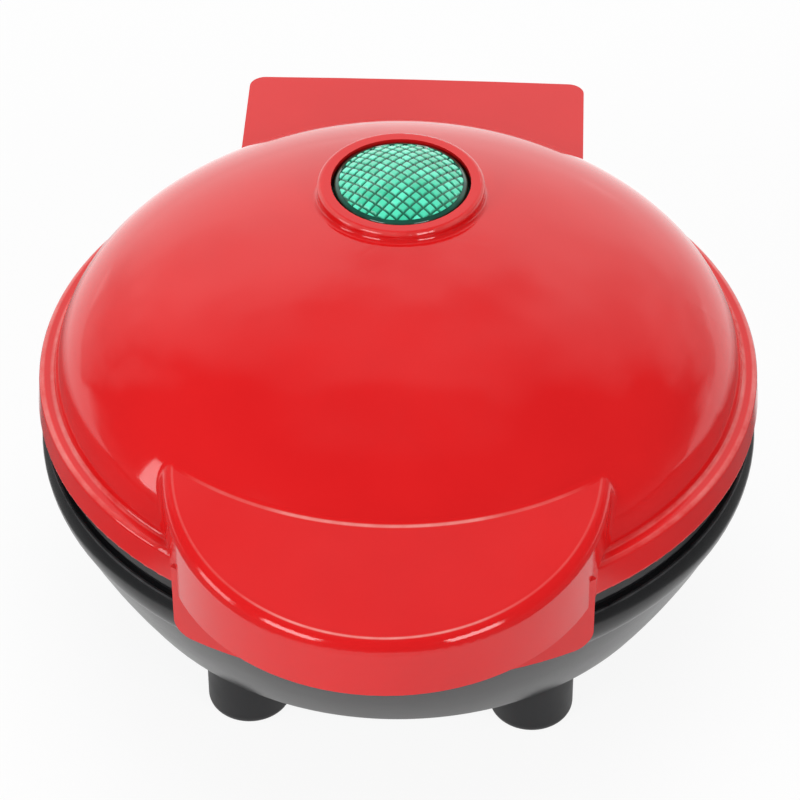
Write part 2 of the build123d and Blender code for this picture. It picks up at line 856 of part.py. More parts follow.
# Rear housing, with a trough in its top that the hinge cover turns through
with BuildPart() as housing_block:
    with BuildSketch(level(housing_z)):
        with Locations((0, (housing_front + housing_reach) / 2)):
            Rectangle(cover_width, housing_reach - housing_front)
    extrude(amount=housing_top_z - housing_z)
    fillet(housing_block.edges().filter_by(Axis.Z).group_by(Axis.Y)[-1], cover_corner)
    fillet(housing_block.faces().sort_by(Axis.Z)[0].edges().group_by(Axis.Y)[1:], housing_edge)
    with BuildSketch(side):
        with Locations((hinge_back, hinge_z)):
            Circle(swing_radius)
    extrude(amount=cover_width, both=True, mode=Mode.SUBTRACT)

# Base shell: bowl, shoulder, rear housing and hinge ears
with BuildPart() as base_shell:
    with BuildSketch(section) as bowl_profile:
        with BuildLine():
            Line((0, bowl_z), (bowl_bottom_radius, bowl_z))
            ThreePointArc((bowl_bottom_radius, bowl_z), bowl_mid, (bowl_top_radius, crease_z))
            ThreePointArc((bowl_top_radius, crease_z), shoulder_mid, (mouth_radius, mouth_z))
            Polyline((mouth_radius, mouth_z), (0, mouth_z), (0, bowl_z))
        make_face()
        bowl_edge = (bowl_bottom_radius, bowl_z, 0)
        fillet(bowl_profile.vertices().sort_by_distance(bowl_edge)[0], bowl_edge_rounding)
    revolve(axis=axis)
    add(housing_block.part)
    for ear_start in (ear_outer - ear_width, -ear_outer):
        with BuildSketch(side.offset(ear_start)):
            with Locations((hinge_back, hinge_z)):
                Circle(ear_radius)
            with Locations(((ear_root + stop_y) / 2, (housing_floor_z + hinge_z) / 2)):
                Rectangle(stop_y - ear_root, hinge_z - housing_floor_z)
        extrude(amount=ear_width)
    with BuildSketch(side):
        with Locations((hinge_back, hinge_z)):
            Circle(pin_radius + pin_clearance)
    extrude(amount=ear_outer, both=True, mode=Mode.SUBTRACT)
    with BuildSketch(level(mouth_z)):
        Circle(rim_radius + fit_clearance)
    extrude(amount=lid_edge_z - mouth_z, mode=Mode.SUBTRACT)
    with BuildSketch(section):
        with BuildLine():
            Line((0, lower_floor_z), (bowl_bottom_radius - base_wall, lower_floor_z))
            ThreePointArc(
                (bowl_bottom_radius - base_wall, lower_floor_z),
                (bowl_mid[0] - base_wall, bowl_mid[1]),
                (bowl_top_radius - base_wall, crease_z),
            )
            Polyline(
                (bowl_top_radius - base_wall, crease_z),
                (mouth_bore, crease_z + mouth_bore - bowl_top_radius + base_wall),
                (mouth_bore, mouth_z),
                (0, mouth_z),
                (0, lower_floor_z),
            )
        make_face()
    revolve(axis=axis, mode=Mode.SUBTRACT)
    with BuildSketch(level(housing_floor_z)):
        with Locations((0, (housing_front + housing_inner_y) / 2)):
            Rectangle(cover_width - 2 * housing_wall, housing_inner_y - housing_front)
    extrude(amount=housing_roof_z - housing_floor_z, mode=Mode.SUBTRACT)
    with BuildSketch(level(housing_roof_z)):
        with Locations((0, lead_back)):
            Circle(lead_radius + lead_side_gap)
    extrude(amount=housing_top_z - housing_roof_z, mode=Mode.SUBTRACT)
    with BuildSketch(level(bowl_z)):
        with Locations(post_points):
            Circle(counterbore_radius + boss_wall)
    extrude(amount=lower_pan_low_z - bowl_z)
    with BuildSketch(level(lower_floor_z)):
        with Locations(foot_points):
            Circle(foot_boss_radius)
    extrude(amount=foot_boss_height)
    with BuildSketch(level(bowl_z)):
        with Locations(post_points):
            Circle(counterbore_radius)
    extrude(amount=boss_seat_z - bowl_z, mode=Mode.SUBTRACT)
    with BuildSketch(level(boss_seat_z)):
        with Locations(post_points):
            Circle(screw_radius + screw_slack)
    extrude(amount=boss_web, mode=Mode.SUBTRACT)
    with BuildSketch(level(bowl_z)):
        with Locations(foot_points):
            Circle(screw_radius + screw_clearance)
    extrude(amount=foot_screw_bite + screw_slack, mode=Mode.SUBTRACT)
    with BuildSketch(level(housing_floor_z)):
        with Locations(block_screw_points):
            Circle(small_screw_radius + screw_clearance)
    extrude(amount=-block_screw_bite, mode=Mode.SUBTRACT)
    with BuildSketch(rear):
        with Locations((0, gland_z)):
            Circle(gland_barrel_radius + gland_clearance)
    extrude(amount=-2 * housing_wall, mode=Mode.SUBTRACT)
save(base_shell, "base_shell")

# Ring between the base shell and the lower plate
with BuildPart() as base_rim:
    with BuildSketch(section):
        with BuildLine():
            Polyline(
                (rim_bore, base_top_z),
                (rim_radius, base_top_z),
                (rim_radius, rim_z),
                (groove_radius, rim_z),
                (groove_radius, mouth_z),
                (spigot_radius, mouth_z),
                (spigot_radius, mouth_z - rim_spigot_depth),
                (spigot_radius - rim_wall, mouth_z - rim_spigot_depth),
                (spigot_radius - rim_wall, lower_flange_z - lip_height),
                (lip_inner_radius, lower_flange_z - lip_height),
                (lip_inner_radius, lower_flange_z),
                (rim_bore, lower_flange_z),
                close=True,
            )
        make_face()
    revolve(axis=axis)
    fillet(base_rim.edges().filter_by(GeomType.CIRCLE).sort_by(SortBy.RADIUS)[-2:], rim_rounding)
save(base_rim, "base_rim")

# Feet, each held by a screw from below
for foot_name, foot_point in zip(foot_names, foot_points):
    with BuildPart() as foot:
        with BuildSketch(level(0)):
            with Locations(foot_point):
                Circle(foot_radius)
        extrude(amount=foot_height)
        fillet(foot.edges().filter_by(GeomType.CIRCLE).group_by(Axis.Z)[0], foot_rounding)
        with BuildSketch(level(0)):
            with Locations(foot_point):
                Circle(counterbore_radius)
        extrude(amount=foot_screw_seat, mode=Mode.SUBTRACT)
        with BuildSketch(level(foot_screw_seat)):
            with Locations(foot_point):
                Circle(screw_radius + screw_slack)
        extrude(amount=foot_height - foot_screw_seat, mode=Mode.SUBTRACT)
    save(foot, foot_name)

# Hinge pin with a clip in a groove at each end
with BuildPart() as hinge_pin:
    with BuildSketch(side):
        with Locations((hinge_back, hinge_z)):
            Circle(pin_radius)
    extrude(amount=ear_outer + pin_overhang, both=True)
    chamfer(hinge_pin.edges().filter_by(GeomType.CIRCLE), pin_chamfer)
    for groove_start in (ear_outer, -ear_outer - clip_groove_width):
        with BuildSketch(side.offset(groove_start)):
            with Locations((hinge_back, hinge_z)):
                Circle(pin_radius + pin_clearance)
                Circle(pin_radius - clip_groove_depth, mode=Mode.SUBTRACT)
        extrude(amount=clip_groove_width, mode=Mode.SUBTRACT)
save(hinge_pin, "hinge_pin")

with BuildPart() as pin_clips:
    for clip_start in (ear_outer + pin_clearance, -ear_outer - pin_clearance - clip_thickness):
        with BuildSketch(side.offset(clip_start)):
            with Locations((hinge_back, hinge_z)):
                Circle(clip_radius)
                Circle(pin_radius - clip_groove_depth + pin_clearance, mode=Mode.SUBTRACT)
            with Locations((hinge_back, hinge_z - clip_radius / 2)):
                Rectangle(clip_mouth, clip_radius, mode=Mode.SUBTRACT)
        extrude(amount=clip_thickness)
save(pin_clips, "pin_clips")

# Snap-in gland that the mains cord passes through
with BuildPart() as cord_gland:
    with BuildSketch(side):
        with BuildLine():
            Polyline(
                (gland_inner_y, gland_z + gland_bore_radius),
                (gland_inner_y, gland_z + gland_barrel_radius + gland_lip),
                (housing_inner_y - gland_clearance, gland_z + gland_barrel_radius + gland_lip),
                (housing_inner_y - gland_clearance, gland_z + gland_barrel_radius),
                (housing_reach, gland_z + gland_barrel_radius),
                (housing_reach, gland_z + gland_flange_radius),
                (housing_reach + gland_flange_height, gland_z + gland_flange_radius),
                (housing_reach + gland_flange_height, gland_z + gland_bore_radius),
                close=True,
            )
        make_face()
    revolve(axis=Axis((0, dome_y, gland_z), (0, 1, 0)))
save(cord_gland, "cord_gland")

# Thermostat against the lower plate, with its strap
with BuildPart() as thermostat:
    with BuildSketch(level(lower_back_z)):
        Circle(thermostat_radius)
    extrude(amount=-thermostat_height)
    with BuildSketch(level(lower_back_z - thermostat_height)):
        with GridLocations(0, 2 * (thermostat_radius - blade_inset), 1, 2):
            Rectangle(blade_width, blade_thickness)
    extrude(amount=-thermostat_blade)
save(thermostat, "thermostat")

with BuildPart() as thermostat_bracket:
    with BuildSketch(level(strap_z)):
        SlotCenterToCenter(2 * bracket_reach, bracket_width)
        with Locations(strap_points):
            Circle(small_screw_radius + screw_slack, mode=Mode.SUBTRACT)
    extrude(amount=bracket_thickness)
save(thermostat_bracket, "thermostat_bracket")
strap_screw_length = bracket_thickness + thermostat_height - screw_tip_gap
save(small_screws(strap_points, strap_z, 1, strap_screw_length), "thermostat_screws")

# Thermal fuse in its glass-fibre sleeve, clipped to the lower plate
with BuildPart() as thermal_fuse:
    with BuildSketch(side):
        with Locations((fuse_back, fuse_z)):
            Circle(fuse_radius)
    extrude(amount=fuse_length / 2, both=True)
save(thermal_fuse, "thermal_fuse")

with BuildPart() as fuse_sleeve:
    with BuildSketch(side):
        with Locations((fuse_back, fuse_z)):
            Circle(sleeve_radius)
            Circle(fuse_radius + channel_clearance, mode=Mode.SUBTRACT)
    extrude(amount=sleeve_length / 2, both=True)
save(fuse_sleeve, "fuse_sleeve")

with BuildPart() as fuse_clip:
    with BuildSketch(side):
        with Locations((fuse_back, fuse_z)):
            Circle(clip_outer)
        with Locations((fuse_back, lower_back_z)):
            Rectangle(clip_outer + fuse_clip_foot, fuse_clip_wall, align=(Align.MAX, Align.MAX))
            Rectangle(
                2 * clip_outer,
                2 * clip_outer,
                align=(Align.CENTER, Align.MIN),
                mode=Mode.SUBTRACT,
            )
        with Locations((fuse_back, fuse_z)):
            Circle(sleeve_radius + channel_clearance, mode=Mode.SUBTRACT)
    extrude(amount=fuse_clip_width / 2, both=True)
    with BuildSketch(level(lower_back_z - fuse_clip_wall)):
        with Locations(clip_point):
            Circle(small_screw_radius + screw_clearance)
    extrude(amount=fuse_clip_wall, mode=Mode.SUBTRACT)
save(fuse_clip, "fuse_clip")
clip_seat_z = lower_back_z - fuse_clip_wall
save(small_screws([clip_point], clip_seat_z, 1, fuse_clip_wall + clip_bite), "fuse_clip_screw")

# Terminal block on the floor of the rear housing
with BuildPart() as terminal_block:
    with BuildSketch(level(housing_floor_z)):
        with Locations((0, block_back)):
            Rectangle(block_width, block_depth)
    extrude(amount=block_height)
    with BuildSketch(level(housing_floor_z + block_height)):
        with Locations((0, block_back)):
            with GridLocations(block_pitch, 0, block_ways, 1):
                Circle(block_hole_radius)
    extrude(amount=-block_height / 2, mode=Mode.SUBTRACT)
    with BuildSketch(level(housing_floor_z)):
        with Locations(block_screw_points):
            Circle(small_screw_radius + screw_clearance)
    extrude(amount=block_height, mode=Mode.SUBTRACT)
save(terminal_block, "terminal_block")
block_screw_length = block_height + block_screw_bite - screw_tip_gap
save(small_screws(block_screw_points, block_top_z, -1, block_screw_length), "terminal_block_screws")

# Earth lug, screw and nut on the lower pan
with BuildPart() as earth_terminal:
    with BuildSketch(level(lower_pan_z)):
        with Locations(earth_point):
            SlotOverall(earth_lug_length, earth_lug_width)
            Circle(screw_radius + screw_slack, mode=Mode.SUBTRACT)
    extrude(amount=earth_lug_thickness)
    with BuildSketch(level(lower_pan_low_z)):
        with Locations(earth_point):
            RegularPolygon(nut_radius, 6)
            Circle(screw_radius + screw_clearance, mode=Mode.SUBTRACT)
    extrude(amount=-nut_height)
save(earth_terminal, "earth_terminal")
earth_seat_z = lower_pan_z + earth_lug_thickness
earth_screw_length = earth_lug_thickness + pan_thickness + nut_height
save(large_screws([earth_point], earth_seat_z, -1, earth_screw_length), "earth_screw")


# Leads: a sleeve up to the hinge, its other half in the lid, and two wires to the lower element
def lead(points, bend, radius):
    with BuildPart() as wire:
        with BuildLine() as route:
            FilletPolyline(points, radius=bend)
        with BuildSketch(Plane(origin=route.line @ 0, z_dir=route.line % 0)):
            Circle(radius)
        sweep(path=route.line)
    return wire


with BuildPart() as base_lead:
    with BuildSketch(level(housing_floor_z + block_height)):
        with Locations((0, lead_back)):
            Circle(lead_radius)
    extrude(amount=lid_edge_z - lead_end_gap - housing_floor_z - block_height)
save(base_lead, "base_lead")

lid_lead_route = [
    (0, dome_y + lead_back, lid_edge_z + lead_end_gap),
    (0, dome_y + lead_back, lead_z),
    (0, dome_y + lead_rise_y, lead_z),
    (0, dome_y + lead_rise_y, lead_turn_z),
    (lid_lead_point[0], dome_y + lid_lead_point[1], lead_turn_z),
    (lid_lead_point[0], dome_y + lid_lead_point[1], upper_pan_top_z + lead_tail),
]
save(lead(lid_lead_route, lead_bend, lead_radius), "lid_lead")

with BuildPart() as element_wires:
    for x, y in terminal_points:
        add(
            lead(
                [
                    (x, dome_y + wire_y, wire_z),
                    (x, dome_y + y, wire_z),
                    (x, dome_y + y, lower_pin_z),
                ],
                wire_bend,
                wire_radius,
            ).part
        )
save(element_wires, "element_wires")
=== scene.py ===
import json
import math
import bmesh
import bpy
from mathutils import Matrix, Vector


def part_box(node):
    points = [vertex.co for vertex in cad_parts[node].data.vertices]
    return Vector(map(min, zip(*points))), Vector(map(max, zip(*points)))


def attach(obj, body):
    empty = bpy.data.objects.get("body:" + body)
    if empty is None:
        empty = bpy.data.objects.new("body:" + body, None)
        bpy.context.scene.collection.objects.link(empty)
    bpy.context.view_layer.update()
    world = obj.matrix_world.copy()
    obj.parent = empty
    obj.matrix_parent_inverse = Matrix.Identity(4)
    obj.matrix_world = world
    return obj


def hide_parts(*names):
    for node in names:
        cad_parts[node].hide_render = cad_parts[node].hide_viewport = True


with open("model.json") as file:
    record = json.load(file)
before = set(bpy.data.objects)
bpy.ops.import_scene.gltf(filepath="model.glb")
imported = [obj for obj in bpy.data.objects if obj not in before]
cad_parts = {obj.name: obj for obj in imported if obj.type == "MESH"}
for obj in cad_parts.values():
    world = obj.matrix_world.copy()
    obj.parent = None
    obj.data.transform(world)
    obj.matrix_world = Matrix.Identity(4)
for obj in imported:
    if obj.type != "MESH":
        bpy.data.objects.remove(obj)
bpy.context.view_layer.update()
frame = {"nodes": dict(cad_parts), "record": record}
nodes = frame["nodes"]

MM = 0.001
AXIS_Y = -1.5 * MM

scene = bpy.context.scene
scene.view_settings.view_transform = "Standard"


# Camera, fitted to the photograph. Its lens and sensor are in millimetres.
EYE = Vector((23.110 * MM, -475.282 * MM, 457.141 * MM))
SIGHT = Vector((-0.008 * MM, 35.221 * MM, 9.923 * MM))
ROLL = -0.0022
LENS_LENGTH = 159.472
SENSOR_WIDTH = 36.0
SHIFT_X = -0.0096
SHIFT_Y = -0.0020
NEAR_LIMIT = 0.01
FAR_LIMIT = 20.0


def make_camera():
    ahead = (SIGHT - EYE).normalized()
    right = ahead.cross(Vector((0, 0, 1))).normalized()
    up = right.cross(ahead)
    right_rolled = math.cos(ROLL) * right + math.sin(ROLL) * up
    up_rolled = math.cos(ROLL) * up - math.sin(ROLL) * right
    data = bpy.data.cameras.new("camera")
    data.lens = LENS_LENGTH
    data.sensor_width = SENSOR_WIDTH
    data.shift_x = SHIFT_X
    data.shift_y = SHIFT_Y
    data.clip_start = NEAR_LIMIT
    data.clip_end = FAR_LIMIT
    camera = bpy.data.objects.new("camera", data)
    columns = Matrix((right_rolled, up_rolled, -ahead)).transposed()
    camera.matrix_world = Matrix.Translation(EYE) @ columns.to_4x4()
    scene.collection.objects.link(camera)
    scene.camera = camera


make_camera()


# Small helpers for node materials
NOISE_LOW = 0.3
NOISE_HIGH = 0.7
LINE_CORE = 0.35


def new_tree(name):
    material = bpy.data.materials.new(name)
    material.use_nodes = True
    tree = material.node_tree
    tree.nodes.clear()
    return material, tree


def link(tree, source, target):
    tree.links.new(source, target)


def noise(tree, coords, scale, detail=3.0, roughness=0.5):
    node = tree.nodes.new("ShaderNodeTexNoise")
    node.inputs["Scale"].default_value = scale
    node.inputs["Detail"].default_value = detail
    node.inputs["Roughness"].default_value = roughness
    link(tree, coords, node.inputs["Vector"])
    return node.outputs["Fac"]


def map_range(tree, value, low, high, first, second):
    node = tree.nodes.new("ShaderNodeMapRange")
    node.inputs["From Min"].default_value = low
    node.inputs["From Max"].default_value = high
    node.inputs["To Min"].default_value = first
    node.inputs["To Max"].default_value = second
    link(tree, value, node.inputs["Value"])
    return node


# The middle of a noise, spread over a range in a straight line
def spread(tree, value, first, second):
    return map_range(tree, value, NOISE_LOW, NOISE_HIGH, first, second).outputs["Result"]


# From the first value to the second, with a smooth start and end
def ramp(tree, value, low, high, first, second):
    node = map_range(tree, value, low, high, first, second)
    node.interpolation_type = "SMOOTHSTEP"
    return node.outputs["Result"]


def combine(tree, operation, first, second):
    node = tree.nodes.new("ShaderNodeMath")
    node.operation = operation
    for place, value in enumerate((first, second)):
        if isinstance(value, (int, float)):
            node.inputs[place].default_value = value
        else:
            link(tree, value, node.inputs[place])
    return node.outputs[0]


def absolute(tree, value):
    return combine(tree, "ABSOLUTE", value, 0.0)


def product(tree, *values):
    total = values[0]
    for value in values[1:]:
        total = combine(tree, "MULTIPLY", total, value)
    return total


def most(tree, *values):
    total = values[0]
    for value in values[1:]:
        total = combine(tree, "MAXIMUM", total, value)
    return total


def between(tree, share, first, second):
    return combine(tree, "ADD", product(tree, share, second - first), first)


def vector_math(tree, operation, value, constant=None):
    node = tree.nodes.new("ShaderNodeVectorMath")
    node.operation = operation
    link(tree, value, node.inputs[0])
    if constant is not None:
        node.inputs[1].default_value = constant
    return node.outputs


def axis_part(tree, coords, axis):
    split = tree.nodes.new("ShaderNodeSeparateXYZ")
    link(tree, coords, split.inputs[0])
    return split.outputs[axis]


def mix_colours(tree):
    node = tree.nodes.new("ShaderNodeMix")
    node.data_type = "RGBA"
    return node


def tint(tree, share, first, second):
    node = mix_colours(tree)
    link(tree, share, node.inputs["Factor"])
    node.inputs["A"].default_value = (*first, 1.0)
    node.inputs["B"].default_value = (*second, 1.0)
    return node.outputs["Result"]


def blend_colour(tree, share, first, second):
    node = mix_colours(tree)
    link(tree, share, node.inputs["Factor"])
    link(tree, first, node.inputs["A"])
    node.inputs["B"].default_value = (*second, 1.0)
    return node.outputs["Result"]


def blend_value(tree, share, first, second):
    node = tree.nodes.new("ShaderNodeMix")
    link(tree, share, node.inputs["Factor"])
    link(tree, first, node.inputs["A"])
    node.inputs["B"].default_value = second
    return node.outputs["Result"]


def bump(tree, height, distance, before=None):
    node = tree.nodes.new("ShaderNodeBump")
    node.inputs["Distance"].default_value = distance
    node.inputs["Strength"].default_value = 1.0
    link(tree, height, node.inputs["Height"])
    if before is not None:
        link(tree, before, node.inputs["Normal"])
    return node.outputs["Normal"]


# Distance of a point from an upright axis, and its height
def around(tree, coords, centre):
    offset = vector_math(tree, "SUBTRACT", coords, (*centre, 0.0))["Vector"]
    flat = vector_math(tree, "MULTIPLY", offset, (1.0, 1.0, 0.0))["Vector"]
    reach = vector_math(tree, "LENGTH", flat)["Value"]
    return reach, axis_part(tree, coords, "Z")


# How near a point lies to a line round the axis, given by its radius, height and width
def near_line(tree, reach, height, line):
    ring, level, width = line
    aside = combine(tree, "SUBTRACT", reach, ring)
    above = combine(tree, "SUBTRACT", height, level)
    squares = combine(tree, "ADD", product(tree, aside, aside), product(tree, above, above))
    apart = combine(tree, "SQRT", squares, 0.0)
    return ramp(tree, apart, width * LINE_CORE, width, 1.0, 0.0)


# A share that varies in patches, for wear and to break up painted highlight lines
def patchy(tree, coords, scale, least, greatest, detail=4.0, roughness=0.7):
    return spread(tree, noise(tree, coords, scale, detail, roughness), least, greatest)


# One moulded, cast or drawn surface. Sizes are in metres, tones in linear colour.
# A wave is the depth and scale of a slow unevenness. Each mark is a function that
# gives its share of the surface, with its tone and roughness.
GLOSS_SCALE = 2.7
COAT_ROUGHNESS = 0.05


def surface(
    name,
    light,
    dark,
    rough,
    patch,
    metallic=0.0,
    grain=900.0,
    grain_depth=0.00002,
    wave=None,
    coat=0.0,
    alpha=1.0,
    marks=(),
):
    material, tree = new_tree(name)
    out = tree.nodes.new("ShaderNodeOutputMaterial")
    shader = tree.nodes.new("ShaderNodeBsdfPrincipled")
    coords = tree.nodes.new("ShaderNodeTexCoord").outputs["Object"]
    tone = spread(tree, noise(tree, coords, patch, 4.0), 0.0, 1.0)
    colour = tint(tree, tone, light, dark)
    gloss = spread(tree, noise(tree, coords, patch * GLOSS_SCALE), *rough)
    for mark, mark_tone, mark_rough in marks:
        share = mark(tree, coords)
        colour = blend_colour(tree, share, colour, mark_tone)
        gloss = blend_value(tree, share, gloss, mark_rough)
    link(tree, colour, shader.inputs["Base Color"])
    link(tree, gloss, shader.inputs["Roughness"])
    normal = bump(tree, noise(tree, coords, grain, 2.0), grain_depth)
    if wave:
        wave_depth, wave_scale = wave
        normal = bump(tree, noise(tree, coords, wave_scale, 1.0), wave_depth, normal)
    link(tree, normal, shader.inputs["Normal"])
    shader.inputs["Metallic"].default_value = metallic
    shader.inputs["Coat Weight"].default_value = coat
    shader.inputs["Coat Roughness"].default_value = COAT_ROUGHNESS
    shader.inputs["Alpha"].default_value = alpha
    link(tree, shader.outputs["BSDF"], out.inputs["Surface"])
    return material


# Lines along edges that are painted lighter as highlights: the radius and height of each, and its
# width
LID_CENTRE = (0.0, AXIS_Y)
ROOT_LINE = (54.95 * MM, 62.45 * MM, 0.42 * MM)
LEDGE_ROOT_LINE = (60.75 * MM, 52.25 * MM, 0.55 * MM)
LEDGE_EDGE_LINE = (62.50 * MM, 51.80 * MM, 0.60 * MM)
LOW_EDGE_LINE = (63.40 * MM, 46.30 * MM, 0.50 * MM)
RING_LINE = (14.30 * MM, 80.50 * MM, 0.50 * MM)
CREASE_LINE = (63.40 * MM, 34.00 * MM, 0.55 * MM)
MOUTH_LINE = (62.60 * MM, 41.20 * MM, 0.50 * MM)
RIM_LINE = (62.00 * MM, 45.30 * MM, 0.50 * MM)

# The handle's outline is a circle round its nose. Its lip line lies in from it.
NOSE_RADIUS = 37.5 * MM
LIP_RADIUS = 35.6 * MM
LIP_HALF_WIDTHS = (0.06 * MM, 0.32 * MM)
lid_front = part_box("lid_shell")[0][1]
nose_centre = (0.0, lid_front + NOSE_RADIUS)

# Where the handle's lines end: at the back, below, towards the dome and past the nose
LINE_BACK = (-43.0 * MM, -40.0 * MM)
LIP_LOW = (55.0 * MM, 55.5 * MM)
LIP_INNER = (54.6 * MM, 55.4 * MM)
ROOT_OUTER = (35.1 * MM, 37.1 * MM)
# Distances from the middle over which they pale, then end
ROOT_PALES = (14.0 * MM, 21.0 * MM)
ROOT_ENDS = (27.0 * MM, 35.0 * MM)
ROOT_PALE = 0.35
LIP_PALES = (12.0 * MM, 24.0 * MM)
LIP_PALE = 0.22
# Distances from the middle over which the ledge's lines grow brighter
FLANK = (36.0 * MM, 52.0 * MM)
FLANK_PALE = 0.25
# Share of the pale tone in the lines
HANDLE_LINE_SHARE = 0.62
LID_LINE_SHARE = 0.46
RING_LINE_SHARE = 0.5

lens_low, lens_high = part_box("indicator_lens")
lens_centre = Vector(((lens_low[0] + lens_high[0]) / 2, (lens_low[1] + lens_high[1]) / 2))


# Painted highlight lines where the handle meets the dome and where its lip begins
def handle_highlight_lines(tree, coords):
    reach, height = around(tree, coords, LID_CENTRE)
    side = absolute(tree, axis_part(tree, coords, "X"))
    front = ramp(tree, axis_part(tree, coords, "Y"), *LINE_BACK, 1.0, 0.0)
    nose, _ = around(tree, coords, nose_centre)
    root = product(
        tree,
        near_line(tree, reach, height, ROOT_LINE),
        ramp(tree, side, *ROOT_PALES, 1.0, ROOT_PALE),
        ramp(tree, side, *ROOT_ENDS, 1.0, 0.0),
        ramp(tree, nose, *ROOT_OUTER, 1.0, 0.0),
        front,
    )
    from_lip = absolute(tree, combine(tree, "SUBTRACT", nose, LIP_RADIUS))
    lip = product(
        tree,
        ramp(tree, from_lip, *LIP_HALF_WIDTHS, 1.0, 0.0),
        ramp(tree, side, *LIP_PALES, 1.0, LIP_PALE),
        ramp(tree, reach, *LIP_INNER, 0.0, 1.0),
        ramp(tree, height, *LIP_LOW, 0.0, 1.0),
        front,
    )
    patch_share = patchy(tree, coords, 420.0, 0.7, 1.0, detail=3.0, roughness=0.5)
    return product(tree, most(tree, root, lip), patch_share, HANDLE_LINE_SHARE)


# Painted highlight lines along the ledge, the lid's lower edge and the ring
def lid_highlight_lines(tree, coords):
    reach, height = around(tree, coords, LID_CENTRE)
    side = absolute(tree, axis_part(tree, coords, "X"))
    ledge = most(
        tree,
        near_line(tree, reach, height, LEDGE_ROOT_LINE),
        near_line(tree, reach, height, LEDGE_EDGE_LINE),
    )
    ledge = product(tree, ledge, ramp(tree, side, *FLANK, FLANK_PALE, 1.0))
    low = near_line(tree, reach, height, LOW_EDGE_LINE)
    reach, height = around(tree, coords, lens_centre)
    ring = product(tree, near_line(tree, reach, height, RING_LINE), RING_LINE_SHARE)
    patch_share = patchy(tree, coords, 90.0, 0.1, 1.0)
    return product(tree, most(tree, ledge, low, ring), patch_share, LID_LINE_SHARE)


# Shade in the bore round the lens
BORE_REACH = (12.20 * MM, 12.35 * MM)
BORE_HEIGHTS = (79.20 * MM, 80.50 * MM)


def bore_shade(tree, coords):
    reach, height = around(tree, coords, lens_centre)
    inside = ramp(tree, reach, *BORE_REACH, 1.0, 0.0)
    low = ramp(tree, height, *BORE_HEIGHTS, 1.0, 0.0)
    return product(tree, inside, low)


# Painted highlight lines along the base's crease and mouth
def base_highlight_lines(tree, coords):
    reach, height = around(tree, coords, LID_CENTRE)
    crease = near_line(tree, reach, height, CREASE_LINE)
    mouth = near_line(tree, reach, height, MOUTH_LINE)
    return product(tree, most(tree, crease, mouth), patchy(tree, coords, 160.0, 0.1, 0.8))


# A painted highlight line along the rim's edge, and dust low on the feet
DUST_HEIGHTS = (0.2 * MM, 1.6 * MM)
DUST_SHARE = 0.6


def rim_highlight_and_dust(tree, coords):
    reach, height = around(tree, coords, LID_CENTRE)
    edge = near_line(tree, reach, height, RIM_LINE)
    dust = ramp(tree, height, *DUST_HEIGHTS, DUST_SHARE, 0.0)
    return product(tree, most(tree, edge, dust), patchy(tree, coords, 260.0, 0.1, 0.9))


# Metal-grey flecks in the coating of the plates, and ribs and faces rubbed smooth
FLECK_SCALE = 1900.0
FLECK_NOISE = (0.60, 0.68)
FLECK_SHARE = 0.8
RUBBED_HEIGHTS = (41.1 * MM, 50.1 * MM, 45.3 * MM, 45.9 * MM)
RUBBED_DEPTHS = (0.05 * MM, 0.30 * MM)


def flecks(tree, coords):
    return ramp(tree, noise(tree, coords, FLECK_SCALE, 2.0), *FLECK_NOISE, 0.0, FLECK_SHARE)


def rubbed_ribs(tree, coords):
    height = axis_part(tree, coords, "Z")
    shares = []
    for level in RUBBED_HEIGHTS:
        apart = absolute(tree, combine(tree, "SUBTRACT", height, level))
        shares.append(ramp(tree, apart, *RUBBED_DEPTHS, 1.0, 0.0))
    patch_share = patchy(tree, coords, 130.0, 0.15, 0.85, detail=5.0)
    return product(tree, most(tree, *shares), patch_share)


RED = surface(
    "red_gloss",
    (0.740, 0.0115, 0.0125),
    (0.680, 0.0085, 0.0100),
    rough=(0.06, 0.11),
    patch=30.0,
    grain=1400.0,
    grain_depth=0.000001,
    wave=(0.00010, 26.0),
    marks=(
        # The first two marks are painted highlight lines on the handle and along the lid's edges
        (handle_highlight_lines, (0.95, 0.42, 0.38), 0.22),
        (lid_highlight_lines, (0.92, 0.40, 0.37), 0.22),
        (bore_shade, (0.030, 0.003, 0.003), 0.5),
    ),
)
BLACK = surface(
    "black_gloss",
    (0.012, 0.0125, 0.0135),
    (0.008, 0.0085, 0.0095),
    rough=(0.15, 0.21),
    patch=45.0,
    grain=1200.0,
    grain_depth=0.000005,
    # Painted highlight lines along the crease and mouth
    marks=((base_highlight_lines, (0.075, 0.076, 0.080), 0.26),),
)
BLACK_SATIN = surface(
    "black_satin",
    (0.015, 0.015, 0.0165),
    (0.010, 0.010, 0.0115),
    rough=(0.34, 0.46),
    patch=70.0,
    grain=1700.0,
    grain_depth=0.00001,
    # A painted highlight line on the rim, with dust low on the feet
    marks=((rim_highlight_and_dust, (0.070, 0.070, 0.072), 0.5),),
)
BLACK_MATTE = surface(
    "black_matte",
    (0.022, 0.022, 0.024),
    (0.014, 0.014, 0.016),
    rough=(0.5, 0.62),
    patch=80.0,
    grain=2200.0,
)
COATING = surface(
    "nonstick_coating",
    (0.028, 0.027, 0.027),
    (0.018, 0.0175, 0.018),
    rough=(0.34, 0.48),
    patch=60.0,
    metallic=0.2,
    grain=3000.0,
    marks=(
        (rubbed_ribs, (0.060, 0.057, 0.055), 0.30),
        (flecks, (0.105, 0.103, 0.100), 0.30),
    ),
)
SHEATH = surface(
    "element_sheath",
    (0.20, 0.175, 0.15),
    (0.105, 0.085, 0.075),
    rough=(0.34, 0.5),
    patch=90.0,
    metallic=1.0,
)
SHEET = surface(
    "zinc_sheet",
    (0.56, 0.56, 0.57),
    (0.44, 0.44, 0.46),
    rough=(0.28, 0.42),
    patch=120.0,
    metallic=1.0,
)
STEEL = surface(
    "plated_steel",
    (0.60, 0.60, 0.61),
    (0.48, 0.48, 0.50),
    rough=(0.24, 0.36),
    patch=300.0,
    metallic=1.0,
)
